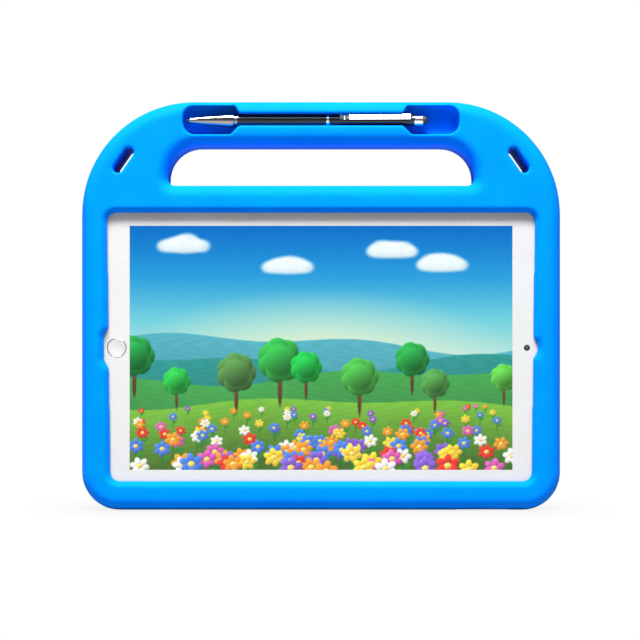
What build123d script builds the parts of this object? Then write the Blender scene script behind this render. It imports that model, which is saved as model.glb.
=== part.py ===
from build123d import *
import os
from math import cos, radians, sin

# Foam tablet case with a built-in carrying handle, a folding rear stand, the tablet that it holds
# and the stylus pen kept in the handle. Millimetres; X to the right, Z up, the screen faces -Y.
# The origin is under the middle of the bottom edge, on which the case stands.

os.makedirs("parts", exist_ok=True)

# ------------------------------------------------------------------ driving dimensions
case_width = 272.0
case_height = 232.0
case_depth = 30.0
shoulder_radius = 64.0
foot_radius = 21.5
edge_round = 8.0

gap = 0.3  # between pieces that move past each other
cut_extra = 1.0  # how far a cutting shape runs past a face

# tablet
tablet_width = 248.4
tablet_height = 158.2
tablet_low = 13.1
tablet_corner = 6.5
glass_sink = 4.5  # from the front of the case down to the glass
tablet_thickness = 7.5

# window in the front of the case
window_top_width = 242.0
window_low_width = 238.4
window_height = 151.6
window_mid = 92.7
window_corner = 5.0
lip_width = 4.4
lip_edge = 1.0
lip_slope = 42.0

# handle hole
hole_width = 174.4
hole_low = 184.4
hole_high = 207.0
hole_top_corner = 18.4
hole_low_corner = 4.0
hole_front_round = 7.5
hole_back_round = 3.0

# folding stand
stand_floor_y = 2.4
arm_front_y = 2.9
arm_back_y = 14.4
arm_inner = 87.6
arm_outer = 103.8
stand_top = 226.0
stand_corner = 49.5
stand_edge_round = 2.0
recess_gap = 0.5
island_half = 86.9
pivot_z = 100.0
recess_low = 88.9

# stylus pen, lying along X in the handle
pen_y = -9.4
pen_z = 221.3
barrel_radius = 3.2
channel_radius = 3.5
channel_half = 50.0
barrel_bore = 2.35

# ------------------------------------------------------------------ derived places
front_y = -case_depth / 2
back_y = case_depth / 2
half_width = case_width / 2
glass_y = front_y + glass_sink
tablet_back_y = glass_y + tablet_thickness
tablet_high = tablet_low + tablet_height
tablet_mid = tablet_low + tablet_height / 2
window_low = window_mid - window_height / 2
window_high = window_mid + window_height / 2
window_middle_half = (window_top_width + window_low_width) / 4
cavity_back_y = tablet_back_y + gap
lip_back_y = glass_y - gap
pivot_y = (arm_front_y + arm_back_y) / 2


# ------------------------------------------------------------------ helpers
def front_view(y):
    """Plane at depth y, seen from the front: X to the right, Z up, extrusions run forward."""
    return Plane.XZ.offset(-y)


def side_view(x):
    """Plane at x: local X is the depth Y, local Y is the height Z, extrusions run to +X."""
    return Plane.YZ.offset(x)


def rounded_block(width, low, high, radius, y_back, y_front, mode=Mode.ADD):
    """Block centred on X with rounded corners in front view, between two depths."""
    with BuildSketch(front_view(y_back)) as block:
        with Locations((0, (low + high) / 2)):
            RectangleRounded(width, high - low, radius)
    extrude(block.sketch, amount=y_back - y_front, mode=mode)


def turned(points, plane, axis):
    """Solid of revolution from a closed outline of (along, radius) points."""
    with BuildSketch(plane) as profile:
        with BuildLine():
            Polyline(*points, close=True)
        make_face()
    revolve(profile.sketch, axis=axis)


def save(builder, label):
    """Label the finished piece and write its STEP file."""
    builder.part.label = label
    export_step(builder.part, f"parts/{label}.step")


# ------------------------------------------------------------------ foam body
pocket_outer = 78.2
pocket_high = 229.5
pocket_low = 212.9
pocket_floor_y = -4.2
pocket_end_round = 6.8
pocket_inner_x = 51.2
pocket_slant = 4.8
pocket_inner_round = 1.5
strap_x = 111.7
strap_z = 198.3
strap_slot = (16.6, 5.7)
strap_lean = 35.0
side_port_y = -4.9
port_slot = (14.0, 5.0)
speaker_slot = (24.0, 4.5)
speaker_offset = 33.0
button_well = (24.0, 5.0)
volume_well = (32.0, 5.0)
power_z = 31.0
volume_x = 92.0
headphone_z = 155.0
headphone_slot = (9.0, 5.0)
rear_camera_x = 113.0
rear_camera_z = 27.0
camera_hole_radius = 7.0
back_pocket = (140.0, 22.0, 168.0, 12.0)
back_pocket_floor_y = 4.0
bush_radius = 3.2
pin_radius = 2.0
pin_inner_end = 79.6
pin_outer_end = 111.6
pin_end_gap = 0.4
bush_end_gap = 0.2

pocket_points = [
    (pocket_inner_x - pocket_slant / 2, pocket_high),
    (pocket_outer, pocket_high),
    (pocket_outer, pocket_low),
    (pocket_inner_x, pocket_low),
    (pocket_inner_x - pocket_slant, pen_z - channel_radius),
    (pocket_inner_x - pocket_slant, pen_z + channel_radius),
]


def pen_pocket(side):
    """Finger pocket at one end of the pen, with its inner end cut on a slant."""
    with BuildSketch(front_view(pocket_floor_y)) as pocket:
        with BuildLine():
            Polyline(*[(side * x, z) for x, z in pocket_points], close=True)
        make_face()
        outer_corners = pocket.vertices().filter_by(lambda v: abs(v.X) > pocket_outer - 1)
        fillet(outer_corners, radius=pocket_end_round)
        inner_corners = pocket.vertices().filter_by(lambda v: abs(v.X) < pocket_inner_x + 1)
        fillet(inner_corners, radius=pocket_inner_round)
    depth = pocket_floor_y - front_y + cut_extra
    extrude(pocket.sketch, amount=depth, mode=Mode.SUBTRACT)


with BuildPart() as foam_shell:
    with BuildSketch(front_view(back_y)) as outline:
        with Locations((0, case_height / 2)):
            Rectangle(case_width, case_height)
        fillet(outline.vertices().group_by(Axis.Y)[-1], radius=shoulder_radius)
        fillet(outline.vertices().group_by(Axis.Y)[0], radius=foot_radius)
    extrude(amount=case_depth)
    fillet(foam_shell.faces().sort_by(Axis.Y)[0].edges(), radius=edge_round)
    fillet(foam_shell.faces().sort_by(Axis.Y)[-1].edges(), radius=edge_round)

    # handle hole, with a wide rounding in front and a smaller one behind
    with BuildSketch(front_view(back_y)) as hole:
        with Locations((0, (hole_low + hole_high) / 2)):
            Rectangle(hole_width, hole_high - hole_low)
        fillet(hole.vertices().group_by(Axis.Y)[-1], radius=hole_top_corner)
        fillet(hole.vertices().group_by(Axis.Y)[0], radius=hole_low_corner)
    extrude(amount=case_depth, mode=Mode.SUBTRACT)
    front_face = foam_shell.faces().sort_by(Axis.Y)[0]
    fillet(front_face.inner_wires()[0].edges(), radius=hole_front_round)
    back_face = foam_shell.faces().sort_by(Axis.Y)[-1]
    fillet(back_face.inner_wires()[0].edges(), radius=hole_back_round)

    # recess for the folded stand, around the handle hole and down both sides of the back
    with BuildSketch(front_view(back_y)) as recess:
        recess_high = stand_top + recess_gap
        with Locations((0, (recess_low + recess_high) / 2)):
            Rectangle(2 * (arm_outer + recess_gap), recess_high - recess_low)
        fillet(recess.vertices().group_by(Axis.Y)[-1], radius=stand_corner + recess_gap)
        with Locations((0, (recess_low + hole_low) / 2)):
            Rectangle(2 * island_half, hole_low - recess_low, mode=Mode.SUBTRACT)
    extrude(amount=back_y - stand_floor_y, mode=Mode.SUBTRACT)

    # lightening pocket in the back panel
    rounded_block(*back_pocket, back_y, back_pocket_floor_y, mode=Mode.SUBTRACT)

    # cavity for the tablet, and the wider opening that the front lip fills
    rounded_block(
        tablet_width + 2 * gap,
        tablet_low - gap,
        tablet_high + gap,
        tablet_corner + gap,
        cavity_back_y,
        lip_back_y,
        mode=Mode.SUBTRACT,
    )
    rounded_block(
        window_top_width + 2 * lip_width,
        window_low - lip_width,
        window_high + lip_width,
        window_corner + lip_width,
        lip_back_y,
        front_y,
        mode=Mode.SUBTRACT,
    )

    # pen channel and the finger pocket at each end of it
    with BuildSketch(side_view(-channel_half)):
        with Locations((pen_y, pen_z)):
            Circle(channel_radius)
        with Locations(((front_y + pen_y) / 2 - cut_extra / 2, pen_z)):
            Rectangle(pen_y - front_y + cut_extra, 2 * channel_radius)
    extrude(amount=2 * channel_half, mode=Mode.SUBTRACT)
    pen_pocket(-1)
    pen_pocket(1)

    # strap slots through the shoulders
    with BuildSketch(front_view(back_y)):
        for side in (-1, 1):
            with Locations((side * strap_x, strap_z)):
                SlotOverall(*strap_slot, rotation=90 + side * strap_lean)
    extrude(amount=case_depth, mode=Mode.SUBTRACT)

    # openings in the left side: charging connector and speakers
    with BuildSketch(side_view(-half_width)):
        with Locations((side_port_y, tablet_mid)):
            SlotOverall(*port_slot, rotation=90)
        for side in (-1, 1):
            with Locations((side_port_y, tablet_mid + side * speaker_offset)):
                SlotOverall(*speaker_slot, rotation=90)
    extrude(amount=half_width - tablet_width / 2, mode=Mode.SUBTRACT)

    # openings in the right side: power button and headphone jack
    with BuildSketch(side_view(tablet_width / 2)):
        with Locations((side_port_y, power_z)):
            SlotOverall(*button_well, rotation=90)
        with Locations((side_port_y, headphone_z)):
            SlotOverall(*headphone_slot, rotation=90)
    extrude(amount=half_width - tablet_width / 2, mode=Mode.SUBTRACT)

    # opening in the bottom for the volume rocker
    with BuildSketch(Plane.XY):
        with Locations((volume_x, side_port_y)):
            SlotOverall(*volume_well)
    extrude(amount=tablet_low, mode=Mode.SUBTRACT)

    # opening in the back for the rear camera
    with BuildSketch(front_view(back_y)):
        with Locations((rear_camera_x, rear_camera_z)):
            Circle(camera_hole_radius)
    extrude(amount=back_y - cavity_back_y + cut_extra, mode=Mode.SUBTRACT)

    # seats for the hinge bushes, in the wall on each side of each arm
    for side in (-1, 1):
        with BuildSketch(side_view(side * (pin_inner_end + pin_outer_end) / 2)):
            with Locations((pivot_y, pivot_z)):
                Circle(bush_radius)
        extrude(amount=(pin_outer_end - pin_inner_end) / 2, both=True, mode=Mode.SUBTRACT)
save(foam_shell, "foam_shell")

# ------------------------------------------------------------------ front lip
home_notch = (2.8, 13.0, 23.0)
camera_notch_depth = 2.5
camera_notch_span = 12.3

with BuildPart() as front_lip:
    rounded_block(
        window_top_width + 2 * lip_width,
        window_low - lip_width,
        window_high + lip_width,
        window_corner + lip_width,
        lip_back_y,
        front_y,
    )
    with BuildSketch(front_view(lip_back_y)) as window:
        with BuildLine():
            Polyline(
                (-window_low_width / 2, window_low),
                (window_low_width / 2, window_low),
                (window_top_width / 2, window_high),
                (-window_top_width / 2, window_high),
                close=True,
            )
        make_face()
        fillet(window.vertices(), radius=window_corner)
        with BuildLine():
            depth, flat, span = home_notch
            edge = -window_middle_half
            Polyline(
                (edge + 1, tablet_mid - span / 2),
                (edge, tablet_mid - span / 2),
                (edge - depth, tablet_mid - flat / 2),
                (edge - depth, tablet_mid + flat / 2),
                (edge, tablet_mid + span / 2),
                (edge + 1, tablet_mid + span / 2),
                close=True,
            )
        make_face()
        with BuildLine():
            edge = window_middle_half - 0.5
            ThreePointArc(
                (edge, tablet_mid - camera_notch_span / 2),
                (edge + camera_notch_depth + 0.5, tablet_mid),
                (edge, tablet_mid + camera_notch_span / 2),
            )
            Line(
                (edge, tablet_mid + camera_notch_span / 2),
                (edge, tablet_mid - camera_notch_span / 2),
            )
        make_face()
    extrude(amount=lip_edge, mode=Mode.SUBTRACT)
    extrude(
        window.sketch.moved(Location((0, -lip_edge, 0))),
        amount=lip_back_y - front_y - lip_edge,
        taper=-lip_slope,
        mode=Mode.SUBTRACT,
    )
save(front_lip, "front_lip")

# ------------------------------------------------------------------ folding stand
with BuildPart() as stand_arch:
    with BuildSketch(front_view(arm_back_y)) as arch:
        arm_low = pivot_z - (arm_back_y - arm_front_y) / 2
        with Locations((0, (arm_low + stand_top) / 2)):
            Rectangle(2 * arm_outer, stand_top - arm_low)
        fillet(arch.vertices().group_by(Axis.Y)[-1], radius=stand_corner)
        inner_top = hole_high + arm_inner - hole_width / 2
        with BuildSketch(mode=Mode.SUBTRACT) as inside:
            with Locations((0, (arm_low + inner_top) / 2)):
                Rectangle(2 * arm_inner, inner_top - arm_low)
            fillet(inside.vertices().group_by(Axis.Y)[-1], radius=hole_top_corner)
    extrude(amount=arm_back_y - arm_front_y)
    fillet(
        stand_arch.edges().filter_by(Axis.X).group_by(Axis.Z)[0],
        radius=(arm_back_y - arm_front_y) / 2 - 0.01,
    )
    rear_outline = stand_arch.faces().sort_by(Axis.Y)[-1].edges()
    fillet(rear_outline, radius=stand_edge_round)
    with BuildSketch(side_view(0)):
        with Locations((pivot_y, pivot_z)):
            Circle(bush_radius)
    extrude(amount=half_width, both=True, mode=Mode.SUBTRACT)
save(stand_arch, "stand_arch")

# ------------------------------------------------------------------ hinge pins and bushes
arm_pin_radius = pin_radius + 0.05


def cross_tube(inner, outer, x_low, x_high):
    """Tube (or a rod, with inner 0) along X on the stand's pivot axis, on both sides."""
    for side in (-1, 1):
        with BuildSketch(side_view(side * x_low)) as ring:
            with Locations((pivot_y, pivot_z)):
                Circle(outer)
                if inner:
                    Circle(inner, mode=Mode.SUBTRACT)
        extrude(ring.sketch, amount=side * (x_high - x_low))


with BuildPart() as hinge_pins:
    cross_tube(0, pin_radius, pin_inner_end + pin_end_gap, pin_outer_end - pin_end_gap)
save(hinge_pins, "hinge_pins")

with BuildPart() as body_bushes:
    cross_tube(pin_radius, bush_radius, pin_inner_end + bush_end_gap, island_half)
    cross_tube(pin_radius, bush_radius, arm_outer + recess_gap, pin_outer_end - bush_end_gap)
save(body_bushes, "body_bushes")

with BuildPart() as arm_bushes:
    cross_tube(arm_pin_radius, bush_radius, arm_inner, arm_outer)
save(arm_bushes, "arm_bushes")

# ------------------------------------------------------------------ tablet
housing_wall = 1.6
housing_floor = 1.2
glass_inset = 0.7
glass_thickness = 0.8
glass_back_y = glass_y + glass_thickness
floor_y = tablet_back_y - housing_floor
inner_wall_x = tablet_width / 2 - housing_wall
inner_wall_z = tablet_low + housing_wall
home_x = -115.9
home_hole_radius = 5.6
home_ring_radius = 5.45
home_cap_radius = 4.9
home_travel = 0.3
front_camera_x = 116.8
front_camera_radius = 1.75
display_width = 217.9
display_height = 139.2
display_thickness = 1.6
display_back_y = glass_back_y + display_thickness
button_y = -6.2
button_slit = 2.4
button_width = 2.0
button_flange = 3.2
button_proud = 0.2
power_length = 12.0
volume_length = 22.0
port_opening = (9.2, 2.8)
port_y = -5.7
port_front_y = -7.2
speaker_hole_radius = 0.8
speaker_hole_pitch = 3.0
camera_lens_radius = 4.0
camera_ring_radius = 5.4
camera_ring_proud = 0.6
camera_clearance = 0.05
camera_block = 5.0
camera_window_depth = 1.5
camera_block_back = 3.6
housing_round = 1.1
glass_round = 0.25
button_clearance = 0.4
jack_radius = 1.5
speaker_holes = 6
switch_half_width = 4.0
switch_half_height = 7.0
switch_plate = 0.5
switch_stem_radius = 2.2
port_half_height = 5.4
port_socket = (8.4, 2.0)
port_depth = 5.5
speaker_box = (111.5, 11.0)
speaker_front_y = -7.4
camera_barrel_radius = 2.6
camera_barrel_depth = 2.4
camera_barrel_step = 0.9
cell_offset = 31.0
cell_half_width = 29.0
cell_half_height = 56.0
cell_corner = 2.0
cell_gap = 0.3
board_thickness = 1.0
board_limits = (66.0, 104.0)
board_chips = [
    (70.0, 88.0, 8.0, 48.0, 1.6),
    (90.0, 101.0, -30.0, -8.0, 1.2),
    (70.0, 86.0, -44.0, -12.0, 1.4),
]

with BuildPart() as tablet_housing:
    rounded_block(tablet_width, tablet_low, tablet_high, tablet_corner, tablet_back_y, glass_y + 0.2)
    fillet(tablet_housing.faces().sort_by(Axis.Y)[-1].edges(), radius=housing_round)
    rounded_block(
        tablet_width - 2 * glass_inset,
        tablet_low + glass_inset,
        tablet_high - glass_inset,
        tablet_corner - glass_inset,
        glass_back_y,
        glass_y,
        mode=Mode.SUBTRACT,
    )
    rounded_block(
        2 * inner_wall_x,
        inner_wall_z,
        tablet_high - housing_wall,
        tablet_corner - housing_wall,
        floor_y,
        glass_back_y,
        mode=Mode.SUBTRACT,
    )
    with BuildSketch(side_view(-tablet_width / 2)):
        with Locations((port_y, tablet_mid)):
            SlotOverall(*port_opening, rotation=90)
        for side in (-1, 1):
            with Locations((port_y, tablet_mid + side * speaker_offset)):
                with GridLocations(1, speaker_hole_pitch, 1, speaker_holes):
                    Circle(speaker_hole_radius)
    extrude(amount=housing_wall, mode=Mode.SUBTRACT)
    with BuildSketch(side_view(inner_wall_x)):
        with Locations((button_y, power_z)):
            Rectangle(button_slit, power_length + button_clearance)
        with Locations((port_y, headphone_z)):
            Circle(jack_radius)
    extrude(amount=housing_wall, mode=Mode.SUBTRACT)
    with BuildSketch(Plane.XY.offset(tablet_low)):
        with Locations((volume_x, button_y)):
            Rectangle(volume_length + button_clearance, button_slit)
    extrude(amount=housing_wall, mode=Mode.SUBTRACT)
    with BuildSketch(front_view(tablet_back_y)):
        with Locations((rear_camera_x, rear_camera_z)):
            Circle(camera_lens_radius + camera_clearance)
    extrude(amount=housing_floor, mode=Mode.SUBTRACT)
save(tablet_housing, "tablet_housing")

with BuildPart() as tablet_glass:
    rounded_block(
        tablet_width - 2 * glass_inset,
        tablet_low + glass_inset,
        tablet_high - glass_inset,
        tablet_corner - glass_inset,
        glass_back_y,
        glass_y,
    )
    fillet(tablet_glass.faces().sort_by(Axis.Y)[0].edges(), radius=glass_round)
    with BuildSketch(front_view(glass_back_y)):
        with Locations((home_x, tablet_mid)):
            Circle(home_hole_radius)
    extrude(amount=glass_thickness, mode=Mode.SUBTRACT)
save(tablet_glass, "tablet_glass")

with BuildPart() as tablet_display:
    rounded_block(
        display_width,
        tablet_mid - display_height / 2,
        tablet_mid + display_height / 2,
        0.8,
        display_back_y,
        glass_back_y,
    )
save(tablet_display, "tablet_display")


def disc(x, z, radius, y_back, y_front, mode=Mode.ADD):
    """Round disc or hole facing forward."""
    with BuildSketch(front_view(y_back)) as face:
        with Locations((x, z)):
            Circle(radius)
    extrude(face.sketch, amount=y_back - y_front, mode=mode)


def front_box(x_low, x_high, z_low, z_high, y_back, y_front, mode=Mode.ADD):
    """Plain block given by its limits in front view and its two depths."""
    with BuildSketch(front_view(y_back)) as face:
        with Locations(((x_low + x_high) / 2, (z_low + z_high) / 2)):
            Rectangle(x_high - x_low, z_high - z_low)
    extrude(face.sketch, amount=y_back - y_front, mode=mode)


home_back_y = -8.9
with BuildPart() as home_button:
    disc(home_x, tablet_mid, home_cap_radius, home_back_y, glass_y + 0.05)
    dish_radius = 30.0
    dish_depth = 0.3
    with Locations((home_x, glass_y + 0.05 - dish_radius + dish_depth, tablet_mid)):
        Sphere(dish_radius, mode=Mode.SUBTRACT)
save(home_button, "home_button")

with BuildPart() as home_ring:
    disc(home_x, tablet_mid, home_ring_radius, home_back_y + 0.4, glass_y)
    disc(home_x, tablet_mid, home_cap_radius, home_back_y + 0.4, glass_y, mode=Mode.SUBTRACT)
    fillet(home_ring.faces().sort_by(Axis.Y)[0].edges(), radius=0.15)
save(home_ring, "home_ring")

with BuildPart() as home_switch:
    plate_front_y = port_front_y - switch_plate
    switch_front_y = home_back_y + home_travel + 0.1
    front_box(
        home_x - switch_half_width,
        home_x + switch_half_width,
        tablet_mid - switch_half_height,
        tablet_mid + switch_half_height,
        port_front_y,
        plate_front_y,
    )
    disc(home_x, tablet_mid, switch_stem_radius, plate_front_y, switch_front_y)
save(home_switch, "home_switch")

with BuildPart() as charging_port:
    front_box(
        -inner_wall_x,
        home_x + 1,
        tablet_mid - port_half_height,
        tablet_mid + port_half_height,
        floor_y,
        port_front_y,
    )
    with BuildSketch(side_view(-inner_wall_x)):
        with Locations((port_y, tablet_mid)):
            SlotOverall(*port_socket, rotation=90)
    extrude(amount=port_depth, mode=Mode.SUBTRACT)
save(charging_port, "charging_port")

with BuildPart() as speakers:
    inner_x, half_height = speaker_box
    for side in (-1, 1):
        middle = tablet_mid + side * speaker_offset
        box_low, box_high = middle - half_height, middle + half_height
        front_box(-inner_wall_x, -inner_x, box_low, box_high, floor_y, speaker_front_y)
save(speakers, "speakers")

with BuildPart() as front_camera:
    barrel_back_y = glass_back_y + camera_barrel_depth
    barrel_front_y = glass_back_y + camera_barrel_step
    disc(front_camera_x, tablet_mid, front_camera_radius, barrel_back_y, glass_back_y)
    disc(front_camera_x, tablet_mid, camera_barrel_radius, barrel_back_y, barrel_front_y)
save(front_camera, "front_camera")

with BuildPart() as rear_camera:
    lens_front_y = floor_y - camera_window_depth
    disc(rear_camera_x, rear_camera_z, camera_lens_radius, tablet_back_y + 0.1, lens_front_y)
    front_box(
        rear_camera_x - camera_block,
        rear_camera_x + camera_block,
        rear_camera_z - camera_block,
        rear_camera_z + camera_block,
        lens_front_y,
        floor_y - camera_block_back,
    )
save(rear_camera, "rear_camera")

with BuildPart() as rear_camera_ring:
    ring_back_y = tablet_back_y + camera_ring_proud
    disc(rear_camera_x, rear_camera_z, camera_ring_radius, ring_back_y, tablet_back_y)
    fillet(rear_camera_ring.faces().sort_by(Axis.Y)[-1].edges(), radius=0.3)
    disc(
        rear_camera_x,
        rear_camera_z,
        camera_lens_radius,
        ring_back_y,
        tablet_back_y,
        mode=Mode.SUBTRACT,
    )
save(rear_camera_ring, "rear_camera_ring")

with BuildPart() as battery_cells:
    for side in (-1, 1):
        front_box(
            side * cell_offset - cell_half_width,
            side * cell_offset + cell_half_width,
            tablet_mid - cell_half_height,
            tablet_mid + cell_half_height,
            floor_y,
            display_back_y + cell_gap,
        )
    fillet(battery_cells.edges().filter_by(Axis.Y), radius=cell_corner)
save(battery_cells, "battery_cells")

with BuildPart() as logic_board:
    board_front_y = floor_y - board_thickness
    board_low, board_high = tablet_mid - cell_half_height, tablet_mid + cell_half_height
    front_box(*board_limits, board_low, board_high, floor_y, board_front_y)
    for x_low, x_high, below, above, height in board_chips:
        front_box(
            x_low,
            x_high,
            tablet_mid + below,
            tablet_mid + above,
            board_front_y,
            board_front_y - height,
        )
save(logic_board, "logic_board")

flange_gap = 0.15
flange_thickness = 0.95

with BuildPart() as power_button:
    outer_x = tablet_width / 2 + button_proud
    flange_x = inner_wall_x - flange_gap
    with BuildSketch(side_view(flange_x)):
        with Locations((button_y, power_z)):
            RectangleRounded(button_width, power_length, 0.9)
    extrude(amount=outer_x - flange_x)
    with BuildSketch(side_view(flange_x)):
        with Locations((button_y, power_z)):
            Rectangle(button_flange, power_length + 2)
    extrude(amount=-flange_thickness)
save(power_button, "power_button")

with BuildPart() as volume_rocker:
    outer_z = tablet_low - button_proud
    flange_z = inner_wall_z + flange_gap
    with BuildSketch(Plane.XY.offset(outer_z)):
        with Locations((volume_x, button_y)):
            RectangleRounded(volume_length, button_width, 0.9)
    extrude(amount=flange_z - outer_z)
    with BuildSketch(Plane.XY.offset(flange_z)):
        with Locations((volume_x, button_y)):
            Rectangle(volume_length + 2, button_flange)
    extrude(amount=flange_thickness)
save(volume_rocker, "volume_rocker")

# ------------------------------------------------------------------ stylus pen
pen_axis = Axis((0, pen_y, pen_z), (1, 0, 0))
pen_plane = Plane(origin=(0, pen_y, pen_z), x_dir=(1, 0, 0), z_dir=(0, -1, 0))
point_x = -76.8
nose_tip_x = -74.0
nose_end_x = -47.5
ring_x = 3.0
upper_x = 4.6
collar_x = 52.7
dome_x = 57.8
pen_end_x = 60.8
dome_radius = 2.75
refill_radius = 1.15
refill_bore = 1.25
chamber_x = -62.0
refill_collar_x = -46.0
sleeve_radius = 2.28
clip_lean = 20.0
clip_width = 3.2
spring_radius = 1.65
spring_wire = 0.22
spring_pitch = 1.9

with BuildPart() as pen_nose:
    turned(
        [
            (nose_tip_x, refill_bore),
            (nose_tip_x, 1.6),
            (-66.5, 2.6),
            (-52.8, 3.95),
            (-51.0, 4.1),
            (-49.6, 3.9),
            (-48.9, barrel_radius),
            (nose_end_x, barrel_radius),
            (nose_end_x, barrel_bore),
            (chamber_x, barrel_bore),
            (chamber_x, refill_bore),
        ],
        pen_plane,
        pen_axis,
    )
save(pen_nose, "pen_nose")

with BuildPart() as pen_lower_barrel:
    turned(
        [
            (nose_end_x, sleeve_radius),
            (nose_end_x, barrel_radius),
            (ring_x - 0.1, barrel_radius),
            (ring_x - 0.1, sleeve_radius),
        ],
        pen_plane,
        pen_axis,
    )
save(pen_lower_barrel, "pen_lower_barrel")

with BuildPart() as pen_sleeve:
    turned(
        [(-10, 1.45), (-10, sleeve_radius), (6.0, sleeve_radius), (6.0, 1.45)],
        pen_plane,
        pen_axis,
    )
save(pen_sleeve, "pen_sleeve")

with BuildPart() as pen_ring:
    turned(
        [
            (ring_x, barrel_bore),
            (ring_x, barrel_radius),
            (ring_x + 0.3, barrel_radius + 0.12),
            (upper_x - 0.3, barrel_radius + 0.12),
            (upper_x, barrel_radius),
            (upper_x, barrel_bore),
        ],
        pen_plane,
        pen_axis,
    )
save(pen_ring, "pen_ring")

with BuildPart() as pen_upper_barrel:
    turned(
        [
            (upper_x, barrel_bore),
            (upper_x, barrel_radius),
            (collar_x, barrel_radius),
            (collar_x, barrel_bore),
        ],
        pen_plane,
        pen_axis,
    )
save(pen_upper_barrel, "pen_upper_barrel")

with BuildPart() as pen_twist_cam:
    turned(
        [
            (7.0, refill_bore),
            (7.0, barrel_bore),
            (24.0, barrel_bore),
            (24.0, 0),
            (17.5, 0),
            (17.5, refill_bore),
        ],
        pen_plane,
        pen_axis,
    )
save(pen_twist_cam, "pen_twist_cam")

with BuildPart() as pen_collar:
    turned(
        [
            (collar_x - 4, 0),
            (collar_x - 4, barrel_bore),
            (collar_x, barrel_bore),
            (collar_x, 3.05),
            (collar_x + 0.4, 3.25),
            (dome_x - 0.4, 3.25),
            (dome_x, 3.05),
            (dome_x, 0),
        ],
        pen_plane,
        pen_axis,
    )
save(pen_collar, "pen_collar")

with BuildPart() as stylus_dome:
    with BuildSketch(pen_plane):
        with Locations((dome_x, 0)):
            Ellipse(pen_end_x - dome_x, dome_radius)
            Rectangle(
                pen_end_x - dome_x,
                dome_radius,
                align=(Align.MIN, Align.MIN),
                mode=Mode.INTERSECT,
            )
    revolve(axis=pen_axis)
save(stylus_dome, "stylus_dome")

with BuildPart() as pen_clip:
    lean = radians(clip_lean)
    clip_plane = Plane(
        origin=(0, pen_y, pen_z), x_dir=(1, 0, 0), z_dir=(0, -sin(lean), -cos(lean))
    )
    with BuildSketch(clip_plane) as clip_side:
        with BuildLine():
            Polyline(
                (51.6, barrel_radius - 0.4),
                (51.6, 4.3),
                (50.6, 4.95),
                (16.0, 4.75),
                (13.2, 4.1),
                (10.6, 4.8),
                (10.5, 4.2),
                (13.2, 3.3),
                (16.4, 4.15),
                (49.6, 4.3),
                (50.2, barrel_radius - 0.4),
                close=True,
            )
        make_face()
        bends = clip_side.vertices().filter_by(lambda v: 13 < v.X < 50.8 and v.Y > 3.25)
        fillet(bends, radius=0.5)
    extrude(amount=clip_width / 2, both=True)
    with BuildSketch(side_view(0)):
        with Locations((pen_y, pen_z)):
            Circle(barrel_radius)
    extrude(amount=half_width, mode=Mode.SUBTRACT)
save(pen_clip, "pen_clip")

with BuildPart() as pen_refill:
    turned(
        [
            (point_x, 0),
            (point_x + 0.1, 0.35),
            (-74.2, refill_radius),
            (refill_collar_x, refill_radius),
            (refill_collar_x, 1.9),
            (refill_collar_x + 1.5, 1.9),
            (refill_collar_x + 1.5, refill_radius),
            (12.0, refill_radius),
            (12.0, 0),
        ],
        pen_plane,
        pen_axis,
    )
save(pen_refill, "pen_refill")

with BuildPart() as pen_spring:
    spring_start = (chamber_x + 0.3, pen_y, pen_z)
    spring_length = refill_collar_x - chamber_x - 0.6
    with BuildLine() as coil:
        Helix(spring_pitch, spring_length, spring_radius, spring_start, (1, 0, 0))
    with BuildSketch(Plane(coil.line @ 0, z_dir=coil.line % 0)):
        Circle(spring_wire)
    sweep(is_frenet=True)
save(pen_spring, "pen_spring")
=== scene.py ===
"""Looks of the foam tablet case: soft foam skins, screen, glass, stylus pen and studio."""

import math

import bmesh
import bpy
import numpy as np
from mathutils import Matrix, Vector


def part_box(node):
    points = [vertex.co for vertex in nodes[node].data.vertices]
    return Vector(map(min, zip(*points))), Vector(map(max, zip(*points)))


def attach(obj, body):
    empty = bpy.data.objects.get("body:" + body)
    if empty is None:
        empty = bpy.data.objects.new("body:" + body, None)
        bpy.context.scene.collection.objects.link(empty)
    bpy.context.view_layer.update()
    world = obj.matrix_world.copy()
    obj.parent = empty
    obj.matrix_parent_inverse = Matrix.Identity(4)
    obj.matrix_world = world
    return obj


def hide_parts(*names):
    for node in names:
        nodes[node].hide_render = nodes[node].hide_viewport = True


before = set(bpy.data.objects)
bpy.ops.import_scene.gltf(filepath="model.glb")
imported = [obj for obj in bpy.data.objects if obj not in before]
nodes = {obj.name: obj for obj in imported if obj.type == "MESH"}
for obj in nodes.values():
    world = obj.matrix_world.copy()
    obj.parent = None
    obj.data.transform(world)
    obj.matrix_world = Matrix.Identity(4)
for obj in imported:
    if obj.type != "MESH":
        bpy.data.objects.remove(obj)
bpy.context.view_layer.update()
scene = bpy.context.scene
MM = 0.001
WELD_DISTANCE = 0.001 * MM
VOXEL = 0.9 * MM
BODY_SMOOTHING = 5  # smoothing rounds
STAND_SMOOTHING = 8

# ---------------------------------------------------------------- places taken from the frame
glass_low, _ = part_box("tablet_glass")
display_low, display_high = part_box("tablet_display")
camera_low, camera_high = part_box("front_camera")
GLASS_FRONT = glass_low.y
CAMERA_CENTRE = (camera_low + camera_high) / 2
DISPLAY_CENTRE = (display_low + display_high) / 2

# ---------------------------------------------------------------- camera
PICTURE_WIDTH = 0.3678  # metres that the picture spans at the case
CAMERA_DISTANCE = 0.8
CAMERA_HEIGHT = 0.108
CAMERA_SIDE = -0.0006
SENSOR = 36.0

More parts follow.
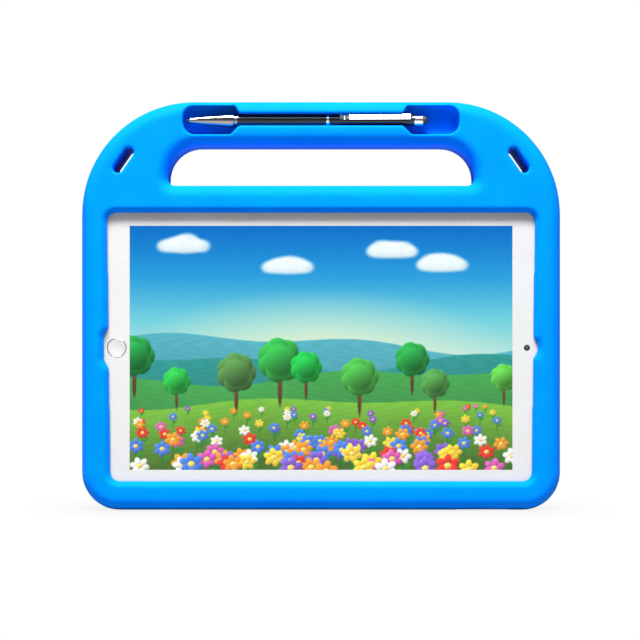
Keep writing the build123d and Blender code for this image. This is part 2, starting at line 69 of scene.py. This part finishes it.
camera_data = bpy.data.cameras.new("camera")
camera_data.sensor_width = SENSOR
camera_data.lens = SENSOR * CAMERA_DISTANCE / PICTURE_WIDTH
camera_data.clip_start = 0.01
camera = bpy.data.objects.new("camera", camera_data)
camera.location = (CAMERA_SIDE, -CAMERA_DISTANCE, CAMERA_HEIGHT)
camera.rotation_euler = (math.radians(90), 0, 0)
scene.collection.objects.link(camera)
scene.camera = camera


# ---------------------------------------------------------------- mesh helpers
def mesh_object(name, mesh):
    """Link a new object that shows this mesh."""
    made = bpy.data.objects.new(name, mesh)
    scene.collection.objects.link(made)
    return made


def welded_copy(node_name, name):
    """A closed copy of a CAD node, with the vertices along its sharp edges joined."""
    mesh = nodes[node_name].data.copy()
    mesh.materials.clear()
    build = bmesh.new()
    build.from_mesh(mesh)
    bmesh.ops.remove_doubles(build, verts=build.verts, dist=WELD_DISTANCE)
    build.to_mesh(mesh)
    build.free()
    return mesh_object(name, mesh)


def apply_modifiers(piece):
    """Replace the piece's mesh by what its modifiers make of it."""
    depsgraph = bpy.context.evaluated_depsgraph_get()
    mesh = bpy.data.meshes.new_from_object(piece.evaluated_get(depsgraph))
    piece.modifiers.clear()
    piece.data = mesh


def shade_smooth(piece):
    """Smooth shading on every face."""
    piece.data.polygons.foreach_set("use_smooth", [True] * len(piece.data.polygons))
    piece.data.update()


def foam_skin(name, node_names, smoothing):
    """One continuous moulded skin over the CAD nodes, with every edge softened."""
    parts = [welded_copy(n, name + "_" + n) for n in node_names]
    skin = parts[0]
    for other in parts[1:]:
        joined = skin.modifiers.new("join", "BOOLEAN")
        joined.operation = "UNION"
        joined.solver = "EXACT"
        joined.object = other
    if len(parts) > 1:
        apply_modifiers(skin)
    hard = mesh_object(name + "_hard", skin.data.copy())
    remesh = skin.modifiers.new("remesh", "REMESH")
    remesh.mode = "VOXEL"
    remesh.voxel_size = VOXEL
    wrap = skin.modifiers.new("wrap", "SHRINKWRAP")
    wrap.wrap_method = "NEAREST_SURFACEPOINT"
    wrap.target = hard
    smooth = skin.modifiers.new("smooth", "SMOOTH")
    smooth.factor = 0.5
    smooth.iterations = smoothing
    apply_modifiers(skin)
    for helper in parts[1:] + [hard]:
        bpy.data.objects.remove(helper)
    skin.name = name
    shade_smooth(skin)
    return skin


# ---------------------------------------------------------------- material helpers
class Look:
    """A node material under construction, around one Principled shader."""

    def __init__(self, name, color, roughness, metallic=0.0):
        self.material = bpy.data.materials.new(name)
        self.material.use_nodes = True
        self.tree = self.material.node_tree
        self.shader = self.tree.nodes["Principled BSDF"]
        self.shader.inputs["Base Color"].default_value = (*color, 1)
        self.shader.inputs["Roughness"].default_value = roughness
        self.shader.inputs["Metallic"].default_value = metallic
        self.coordinates = self.tree.nodes.new("ShaderNodeTexCoord").outputs["Object"]
        self.last_normal = None

    def link(self, start, end):
        self.tree.links.new(start, end)

    def noise(self, scale, detail=3.0, rough=0.5, stretch=None):
        """Fractal noise over the object's own coordinates, optionally stretched."""
        texture = self.tree.nodes.new("ShaderNodeTexNoise")
        texture.inputs["Scale"].default_value = scale
        texture.inputs["Detail"].default_value = detail
        texture.inputs["Roughness"].default_value = rough
        source = self.coordinates
        if stretch:
            mapping = self.tree.nodes.new("ShaderNodeMapping")
            mapping.inputs["Scale"].default_value = stretch
            self.link(source, mapping.inputs["Vector"])
            source = mapping.outputs["Vector"]
        self.link(source, texture.inputs["Vector"])
        return texture.outputs["Fac"]

    def cells(self, scale):
        """Distance to the nearest of many scattered points, for a grainy skin."""
        texture = self.tree.nodes.new("ShaderNodeTexVoronoi")
        texture.inputs["Scale"].default_value = scale
        self.link(self.coordinates, texture.inputs["Vector"])
        return texture.outputs["Distance"]

    def spread(self, value, low, high, start=0.3, end=0.7):
        """Map a texture value onto a range."""
        remap = self.tree.nodes.new("ShaderNodeMapRange")
        remap.inputs["From Min"].default_value = start
        remap.inputs["From Max"].default_value = end
        remap.inputs["To Min"].default_value = low
        remap.inputs["To Max"].default_value = high
        self.link(value, remap.inputs["Value"])
        return remap.outputs["Result"]

    def vary_color(self, value, first, second):
        """Base colour that wanders between two close colours."""
        mix = self.tree.nodes.new("ShaderNodeMix")
        mix.data_type = "RGBA"
        mix.inputs["A"].default_value = (*first, 1)
        mix.inputs["B"].default_value = (*second, 1)
        self.link(self.spread(value, 0, 1), mix.inputs["Factor"])
        self.link(mix.outputs["Result"], self.shader.inputs["Base Color"])

    def vary_roughness(self, value, low, high):
        self.link(self.spread(value, low, high), self.shader.inputs["Roughness"])

    def bump(self, value, depth, strength):
        """Raise the surface by a texture, depth in metres; later bumps add to earlier ones."""
        bump = self.tree.nodes.new("ShaderNodeBump")
        bump.inputs["Strength"].default_value = strength
        bump.inputs["Distance"].default_value = depth
        self.link(value, bump.inputs["Height"])
        if self.last_normal:
            self.link(self.last_normal, bump.inputs["Normal"])
        self.last_normal = bump.outputs["Normal"]
        self.link(self.last_normal, self.shader.inputs["Normal"])


def foam_look():
    """Closed-cell foam with a fine moulded grain and hardly any gloss."""
    look = Look("foam_blue", (0.0, 0.157, 0.7), 0.66)
    look.shader.inputs["Specular IOR Level"].default_value = 0.1
    look.shader.inputs["Specular Tint"].default_value = (0.0, 0.5, 1.0, 1)
    look.vary_color(look.noise(55, 4), (0.0, 0.149, 0.68), (0.0, 0.165, 0.72))
    look.vary_roughness(look.noise(220, 3), 0.6, 0.72)
    look.bump(look.noise(1300, 2, 0.6), 0.00018, 0.6)
    look.bump(look.cells(900), 0.00006, 0.4)
    return look.material


def metal_look(name, color, roughness, grain, depth, stretch=None):
    """Bare metal with a fine directional or blasted grain."""
    look = Look(name, color, roughness, 1.0)
    value = look.noise(grain, 3, 0.5, stretch)
    look.vary_roughness(value, roughness * 0.8, roughness * 1.3)
    look.bump(value, depth, 0.4)
    return look.material


def plastic_look(name, color, roughness, grain=900, depth=0.00002, coat=0.0):
    """Moulded plastic, lacquer or rubber, with a little unevenness."""
    look = Look(name, color, roughness)
    look.shader.inputs["Coat Weight"].default_value = coat
    look.shader.inputs["Coat Roughness"].default_value = 0.04
    value = look.noise(grain, 3)
    bright = tuple(min(1, c * 1.12 + 0.003) for c in color)
    look.vary_color(look.noise(grain / 8, 2), color, bright)
    look.vary_roughness(value, roughness * 0.85, roughness * 1.2)
    look.bump(value, depth, 0.4)
    return look.material


def paint_node(names, material):
    """Give CAD nodes a material through their own slots."""
    for name in names:
        slots = nodes[name].material_slots
        if not slots:
            nodes[name].data.materials.append(material)
        for material_slot in slots:
            material_slot.material = material


# ---------------------------------------------------------------- foam body and stand
foam = foam_look()

body_skin = foam_skin("foam_body_skin", ["foam_shell", "front_lip"], BODY_SMOOTHING)
body_skin.data.materials.clear()
body_skin.data.materials.append(foam)
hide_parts("foam_shell", "front_lip")
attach(body_skin, "case")

stand_skin = foam_skin("foam_stand_skin", ["stand_arch"], STAND_SMOOTHING)
stand_skin.data.materials.clear()
stand_skin.data.materials.append(foam)
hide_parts("stand_arch")
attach(stand_skin, "stand")

# ---------------------------------------------------------------- CAD nodes with better materials
steel = metal_look("drawn_steel", (0.6, 0.61, 0.63), 0.28, 900, 0.00001, (20, 1, 1))
alloy = metal_look("blasted_alloy", (0.72, 0.73, 0.75), 0.38, 5000, 0.00001)
chrome = metal_look("polished_chrome", (0.82, 0.83, 0.85), 0.07, 300, 0.000004)
# Bright chrome for the pen nose, its colour darkened to paint in the dark surroundings it reflects:
# painted dark reflection
chrome_painted_dark_reflection = metal_look("chrome_painted_dark_reflection", (0.34, 0.31, 0.30), 0.09, 300, 0.000004, (0.2, 1, 1))
brass = metal_look("drawn_brass", (0.72, 0.55, 0.24), 0.25, 800, 0.00001, (20, 1, 1))
lacquer = plastic_look("black_lacquer", (0.004, 0.004, 0.005), 0.07, 400, 0.000002, 0.2)
rubber = plastic_look("dome_rubber", (0.014, 0.014, 0.016), 0.55, 2500, 0.00002)
dark = plastic_look("dark_plastic", (0.02, 0.02, 0.023), 0.45)
pale = plastic_look("pale_gloss", (0.37, 0.37, 0.37), 0.2, 600, 0.000004, 0.6)
lens = plastic_look("lens_black", (0.004, 0.004, 0.006), 0.08, 300, 0.000002, 1.0)
foil = metal_look("battery_foil", (0.3, 0.3, 0.32), 0.35, 500, 0.00004)
board = plastic_look("board_green", (0.01, 0.12, 0.05), 0.35, 1500, 0.00003)

paint_node(["hinge_pins", "home_ring", "pen_spring"], steel)
paint_node(["tablet_housing", "rear_camera_ring", "power_button", "volume_rocker"], alloy)
paint_node(["pen_ring", "pen_collar", "pen_clip"], chrome)
# pen nose: chrome with painted dark reflection in its darkened colour
paint_node(["pen_nose"], chrome_painted_dark_reflection)
paint_node(["pen_sleeve", "pen_refill"], brass)
paint_node(["pen_upper_barrel", "pen_lower_barrel"], lacquer)
paint_node(["stylus_dome"], rubber)
paint_node(["body_bushes", "arm_bushes", "home_switch", "charging_port", "speakers"], dark)
paint_node(["home_button", "pen_twist_cam"], pale)
paint_node(["rear_camera", "front_camera", "tablet_display"], lens)
paint_node(["battery_cells"], foil)
paint_node(["logic_board"], board)
paint_node(["tablet_glass"], pale)

# ---------------------------------------------------------------- picture on the display
PICTURE_COLUMNS = 520
PICTURE_ROWS = 332
PICTURE_MARGIN = 0.8 * MM  # unlit edge of the display, both sides together
PICTURE_SIZE = (
    display_high.x - display_low.x - PICTURE_MARGIN,
    display_high.z - display_low.z - PICTURE_MARGIN,
)
PICTURE_SINK = 0.00004  # behind the front of the glass
PICTURE_SEED = 7
FLOWERS = 150
CLOUDS = 4
TREES = 9
HORIZON = 0.42  # height of the meadow's far edge, as a share of the picture


class Painting:
    """A picture painted shape over shape; x runs 0 to aspect and y runs 0 to 1, upwards."""

    def __init__(self, columns, rows, aspect):
        self.aspect = aspect
        self.y, self.x = np.mgrid[0 : 1 : rows * 1j, 0 : aspect : columns * 1j]
        self.color = np.zeros((rows, columns, 3))
        self.soft = 1.0 / rows

    def lay(self, distance, color, light=1.0, soft=0.0, opacity=1.0):
        """Paint a colour, shaded by light, where the distance is positive."""
        cover = np.clip(distance / (self.soft + soft) + 0.5, 0, 1) * opacity
        shaded = np.clip(np.asarray(color) * np.asarray(light)[..., None], 0, 1)
        self.color += (shaded - self.color) * cover[..., None]

    def oval(self, x, y, rx, ry, color, angle=0.0, soft=0.0, depth=0.25, opacity=1.0):
        """Oval turned by an angle in radians and lit from the upper left."""
        dx, dy = self.x - x, self.y - y
        u = dx * math.cos(angle) + dy * math.sin(angle)
        v = dy * math.cos(angle) - dx * math.sin(angle)
        reach = np.sqrt((u / rx) ** 2 + (v / ry) ** 2)
        light = 1 + depth * (dy - 0.5 * dx) / max(rx, ry)
        self.lay((1 - reach) * min(rx, ry), color, light, soft, opacity)

    def ridge(self, height, roll, phase, color, depth):
        """Rolling hill across the whole width, darker towards its foot."""
        wave = 0.6 * np.sin(3.1 * self.x + phase) + 0.4 * np.sin(7.3 * self.x + 2 * phase)
        above = height + roll * wave - self.y
        mottle = 0.02 * np.sin(60 * self.x + 9 * np.sin(40 * self.y))
        self.lay(above, color, 1 - depth * np.clip(above / 0.25, 0, 1) + mottle)


def paint_sky(art):
    """Sky that pales towards the horizon, with a low glow."""
    heights = [HORIZON, 0.62, 0.8, 1.0]
    for channel, values in enumerate(
        ([0.80, 0.45, 0.16, 0.04], [0.93, 0.82, 0.62, 0.44], [0.86, 0.88, 0.87, 0.80])
    ):
        art.color[..., channel] = np.interp(art.y, heights, values)
    art.oval(art.aspect / 2, HORIZON, 0.5, 0.2, (0.96, 0.97, 0.82), 0, 0.25, 0, 0.8)


def paint_clouds(art, chance):
    """Small clouds, each a row of round puffs on a level base."""
    for k in range(CLOUDS):
        x = art.aspect * (k + chance.uniform(0.25, 0.75)) / CLOUDS
        y = chance.uniform(0.72, 0.92)
        for puff in range(6):
            size = 0.014 + 0.024 * math.sin(math.pi * (puff + 1) / 7) * chance.uniform(0.8, 1.2)
            place = x + 0.03 * (puff - 2.5), y + 0.7 * size
            art.oval(*place, 1.3 * size, size, (0.93, 0.98, 1), 0, 0.012, 0.08, 0.9)


def paint_hills(art):
    """Four ridges, from far teal to near green."""
    art.ridge(HORIZON + 0.10, 0.05, 0.4, (0.36, 0.72, 0.78), 0.15)
    art.ridge(HORIZON + 0.03, 0.05, 2.1, (0.22, 0.62, 0.60), 0.2)
    art.ridge(HORIZON - 0.04, 0.04, 4.0, (0.30, 0.68, 0.34), 0.25)
    art.ridge(HORIZON - 0.15, 0.03, 5.2, (0.50, 0.78, 0.27), 0.45)


def paint_trees(art, chance):
    """Round trees along the middle ridge."""
    for k in range(TREES):
        x = art.aspect * (k + chance.uniform(0.1, 0.9)) / TREES
        foot = HORIZON - chance.uniform(0.06, 0.16)
        size = chance.uniform(0.05, 0.1)
        art.oval(x, foot + 0.3 * size, 0.1 * size, 0.8 * size, (0.42, 0.28, 0.18))
        green = (chance.uniform(0.1, 0.4), chance.uniform(0.5, 0.72), 0.28)
        for lobe in range(7):
            turn = 2 * math.pi * lobe / 7
            place = x + 0.5 * size * math.cos(turn), foot + 1.5 * size + 0.5 * size * math.sin(turn)
            art.oval(*place, 0.5 * size, 0.5 * size, green, 0, 0, 0.35)
        art.oval(x, foot + 1.5 * size, 0.7 * size, 0.7 * size, green, 0, 0.01, 0.35)


def paint_flowers(art, chance):
    """Meadow flowers in rows that grow larger towards the viewer."""
    tints = ((0.90, 0.22, 0.16), (0.96, 0.60, 0.18), (0.98, 0.82, 0.24), (0.86, 0.36, 0.70))
    tints += ((0.52, 0.36, 0.80), (0.30, 0.50, 0.88), (0.97, 0.97, 0.95))
    for k in range(FLOWERS):
        near = k / FLOWERS
        x = chance.uniform(0, art.aspect)
        y = (HORIZON - 0.16) * (1 - near) + chance.uniform(-0.01, 0.01)
        size = 0.01 + 0.04 * near * chance.uniform(0.7, 1.0)
        tint = tints[chance.integers(len(tints))]
        art.oval(x, y - size, 0.1 * size, 1.2 * size, (0.16, 0.48, 0.18))
        art.oval(x + 0.5 * size, y - 1.2 * size, 0.6 * size, 0.2 * size, (0.2, 0.56, 0.2), 0.6)
        for petal in range(6):
            turn = math.pi * petal / 3 + k
            place = x + 0.6 * size * math.cos(turn), y + 0.5 * size * math.sin(turn)
            art.oval(*place, 0.5 * size, 0.32 * size, tint, turn, 0, 0.3)
        art.oval(x, y, 0.3 * size, 0.26 * size, (0.99, 0.86, 0.42), 0, 0, 0.3)


def painted_landscape():
    """A plain flower meadow under a clear sky."""
    art = Painting(PICTURE_COLUMNS, PICTURE_ROWS, PICTURE_SIZE[0] / PICTURE_SIZE[1])
    chance = np.random.default_rng(PICTURE_SEED)
    paint_sky(art)
    paint_clouds(art, chance)
    paint_hills(art)
    paint_trees(art, chance)
    paint_flowers(art, chance)
    return np.clip(art.color, 0, 1).reshape(-1, 3)


def screen_picture():
    """Display picture as a fine grid whose vertices carry the painted colours."""
    width, height = PICTURE_SIZE
    across = np.linspace(-width / 2, width / 2, PICTURE_COLUMNS) + DISPLAY_CENTRE.x
    up = np.linspace(-height / 2, height / 2, PICTURE_ROWS) + DISPLAY_CENTRE.z
    z, x = np.meshgrid(up, across, indexing="ij")
    y = np.full(x.shape, GLASS_FRONT + PICTURE_SINK)
    corners = np.stack([x, y, z], -1).reshape(-1, 3)
    index = np.arange(PICTURE_ROWS * PICTURE_COLUMNS).reshape(PICTURE_ROWS, PICTURE_COLUMNS)
    quads = np.stack([index[:-1, :-1], index[:-1, 1:], index[1:, 1:], index[1:, :-1]], -1)
    mesh = bpy.data.meshes.new("screen_picture")
    mesh.from_pydata(corners.tolist(), [], quads.reshape(-1, 4).tolist())
    srgb = painted_landscape()
    linear = np.where(srgb <= 0.04045, srgb / 12.92, ((srgb + 0.055) / 1.055) ** 2.4)
    layer = mesh.color_attributes.new("picture", "FLOAT_COLOR", "POINT")
    layer.data.foreach_set("color", np.column_stack([linear, np.ones(len(linear))]).ravel())
    look = Look("lit_picture", (0.0, 0.0, 0.0), 0.12)
    look.shader.inputs["Specular IOR Level"].default_value = 0.25
    look.shader.inputs["Emission Strength"].default_value = 1.0
    picture = look.tree.nodes.new("ShaderNodeVertexColor")
    picture.layer_name = "picture"
    look.link(picture.outputs["Color"], look.shader.inputs["Emission Color"])
    look.vary_roughness(look.noise(40, 3), 0.1, 0.14)
    look.bump(look.noise(200, 2), 0.000002, 0.2)
    mesh.materials.append(look.material)
    screen = mesh_object("screen_picture", mesh)
    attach(screen, "tablet")


def cutter(name, mesh_build):
    """Hidden solid that a boolean takes away from another piece."""
    mesh = bpy.data.meshes.new(name)
    mesh_build.to_mesh(mesh)
    mesh_build.free()
    return mesh_object(name, mesh)


def block(low, high):
    """Closed box between two corners, as mesh data under construction."""
    build = bmesh.new()
    bmesh.ops.create_cube(build, size=1)
    for v in build.verts:
        v.co = Vector([(a + b) / 2 + c * (b - a) for a, b, c in zip(low, high, v.co)])
    return build


def cylinder(centre, radius, half_depth, segments=64):
    """Closed cylinder along Y, as mesh data under construction."""
    build = bmesh.new()
    ends = []
    for y in (centre.y - half_depth, centre.y + half_depth):
        ring = []
        for k in range(segments):
            angle = 2 * math.pi * k / segments
            x = centre.x + radius * math.cos(angle)
            ring.append(build.verts.new((x, y, centre.z + radius * math.sin(angle))))
        build.faces.new(ring)
        ends.append(ring)
    for k in range(segments):
        n = (k + 1) % segments
        build.faces.new((ends[0][k], ends[0][n], ends[1][n], ends[1][k]))
    bmesh.ops.recalc_face_normals(build, faces=build.faces)
    return build


def cut_away(piece, tools):
    """Subtract each closed solid from the piece in turn."""
    for tool in tools:
        cut = piece.modifiers.new("cut", "BOOLEAN")
        cut.operation = "DIFFERENCE"
        cut.solver = "EXACT"
        cut.object = tool
        apply_modifiers(piece)
        bpy.data.objects.remove(tool)


CAMERA_WINDOW_RADIUS = 1.75 * MM
CUT_DEPTH = 5 * MM
EDGE_ROUND = 0.12 * MM


def cover_border():
    """Cover glass with its pale printed border, open over the picture and the camera."""
    plate = welded_copy("tablet_glass", "cover_border")
    half = Vector((PICTURE_SIZE[0] / 2, CUT_DEPTH, PICTURE_SIZE[1] / 2))
    middle = Vector((DISPLAY_CENTRE.x, GLASS_FRONT, DISPLAY_CENTRE.z))
    eye = Vector((CAMERA_CENTRE.x, GLASS_FRONT, CAMERA_CENTRE.z))
    window = cutter("window_cutter", block(middle - half, middle + half))
    pinhole = cutter("camera_cutter", cylinder(eye, CAMERA_WINDOW_RADIUS, CUT_DEPTH))
    cut_away(plate, [window, pinhole])
    round_edges = plate.modifiers.new("round", "BEVEL")
    round_edges.width = EDGE_ROUND
    round_edges.segments = 2
    round_edges.limit_method = "ANGLE"
    round_edges.angle_limit = math.radians(50)
    apply_modifiers(plate)
    look = Look("printed_border", (0.4, 0.4, 0.39), 0.25)
    look.shader.inputs["Coat Weight"].default_value = 0.3
    look.shader.inputs["Coat Roughness"].default_value = 0.03
    look.vary_color(look.noise(30, 2), (0.392, 0.392, 0.387), (0.408, 0.408, 0.402))
    look.vary_roughness(look.noise(60, 3), 0.22, 0.3)
    look.bump(look.noise(200, 2), 0.000002, 0.3)
    plate.data.materials.clear()
    plate.data.materials.append(look.material)
    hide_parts("tablet_glass")
    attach(plate, "tablet")


def lathe(name, profile, centre, segments=48):
    """Round piece that faces forward, from (radius, depth behind the glass front) pairs."""
    build = bmesh.new()
    rings = []
    for radius, depth in profile:
        ring = []
        for k in range(segments):
            angle = 2 * math.pi * k / segments
            x = centre.x + radius * math.cos(angle)
            z = centre.z + radius * math.sin(angle)
            ring.append(build.verts.new((x, GLASS_FRONT + depth, z)))
        rings.append(ring)
    for low, high in zip(rings[:-1], rings[1:]):
        for k in range(segments):
            n = (k + 1) % segments
            build.faces.new((low[k], low[n], high[n], high[k]))
    build.faces.new(rings[-1])
    build.faces.new(rings[0][::-1])
    bmesh.ops.recalc_face_normals(build, faces=build.faces)
    mesh = bpy.data.meshes.new(name)
    build.to_mesh(mesh)
    build.free()
    made = mesh_object(name, mesh)
    shade_smooth(made)
    return made


def camera_window():
    """Front camera: a black window with a small domed lens."""
    rim = lathe(
        "front_camera_window",
        [
            (1.7 * MM, 0.7 * MM),
            (1.7 * MM, 0.06 * MM),
            (1.62 * MM, 0.02 * MM),
            (0.9 * MM, 0.02 * MM),
            (0.75 * MM, 0.2 * MM),
        ],
        CAMERA_CENTRE,
    )
    rim.data.materials.append(lens)
    dome = lathe(
        "front_camera_lens",
        [
            (0.75 * MM, 0.5 * MM),
            (0.7 * MM, 0.22 * MM),
            (0.5 * MM, 0.1 * MM),
            (0.2 * MM, 0.06 * MM),
        ],
        CAMERA_CENTRE,
    )
    look = plastic_look("lens_blue", (0.03, 0.035, 0.06), 0.05, 300, 0.000002, 1.0)
    dome.data.materials.append(look)
    for piece in (rim, dome):
        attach(piece, "tablet")


screen_picture()
cover_border()
camera_window()

# ---------------------------------------------------------------- studio
FLOOR_SIZE = 6.0
CONTACT_REACH = 0.04  # metres over which the contact shadow fades
CONTACT_DARKEST = 0.84


def studio_floor():
    """White floor that shows only the contact shadow to the camera."""
    mesh = bpy.data.meshes.new("floor")
    half = FLOOR_SIZE / 2
    corners = [(-half, -half, 0), (half, -half, 0), (half, half, 0), (-half, half, 0)]
    mesh.from_pydata(corners, [], [(0, 1, 2, 3)])
    floor = mesh_object("floor", mesh)
    look = Look("floor_white", (0.3, 0.3, 0.3), 0.7)
    look.vary_color(look.noise(3, 2), (0.29, 0.29, 0.29), (0.31, 0.31, 0.31))
    contact = look.tree.nodes.new("ShaderNodeAmbientOcclusion")
    contact.inputs["Distance"].default_value = CONTACT_REACH
    shown = look.tree.nodes.new("ShaderNodeEmission")
    shade = look.spread(contact.outputs["AO"], CONTACT_DARKEST, 1.0, 0.0, 1.0)
    look.link(shade, shown.inputs["Strength"])
    mix = look.tree.nodes.new("ShaderNodeMixShader")
    ray = look.tree.nodes.new("ShaderNodeLightPath")
    look.link(ray.outputs["Is Camera Ray"], mix.inputs["Fac"])
    look.link(look.shader.outputs["BSDF"], mix.inputs[1])
    look.link(shown.outputs["Emission"], mix.inputs[2])
    look.link(mix.outputs["Shader"], look.tree.nodes["Material Output"].inputs["Surface"])
    mesh.materials.append(look.material)


def softbox(name, place, target, size, watts):
    """Rectangular area light aimed at a point."""
    data = bpy.data.lights.new(name, "AREA")
    data.shape = "RECTANGLE"
    data.size, data.size_y = size
    data.energy = watts
    light = bpy.data.objects.new(name, data)
    light.location = place
    light.rotation_euler = (Vector(target) - Vector(place)).to_track_quat("-Z", "Y").to_euler()
    scene.collection.objects.link(light)


studio_floor()
softbox("key_light", (-0.1, -0.58, 1.32), (0, 0, 0.1), (0.9, 0.3), 74)
softbox("front_card", (0, -0.82, 1.12), (0, 0, 0.2), (0.7, 0.16), 3.0)
world = bpy.data.worlds.new("studio")
world.use_nodes = True
scene.world = world
sky = world.node_tree
fill = sky.nodes["Background"]
fill.inputs["Color"].default_value = (0.97, 0.98, 1, 1)
fill.inputs["Strength"].default_value = 0.2
seen = sky.nodes.new("ShaderNodeBackground")
seen.inputs["Strength"].default_value = 1.0
seen.inputs["Color"].default_value = (1, 1, 1, 1)
either = sky.nodes.new("ShaderNodeMixShader")
ray = sky.nodes.new("ShaderNodeLightPath")
sky.links.new(ray.outputs["Is Camera Ray"], either.inputs["Fac"])
sky.links.new(fill.outputs["Background"], either.inputs[1])
sky.links.new(seen.outputs["Background"], either.inputs[2])
sky.links.new(either.outputs["Shader"], sky.nodes["World Output"].inputs["Surface"])
scene.view_settings.view_transform = "Standard"
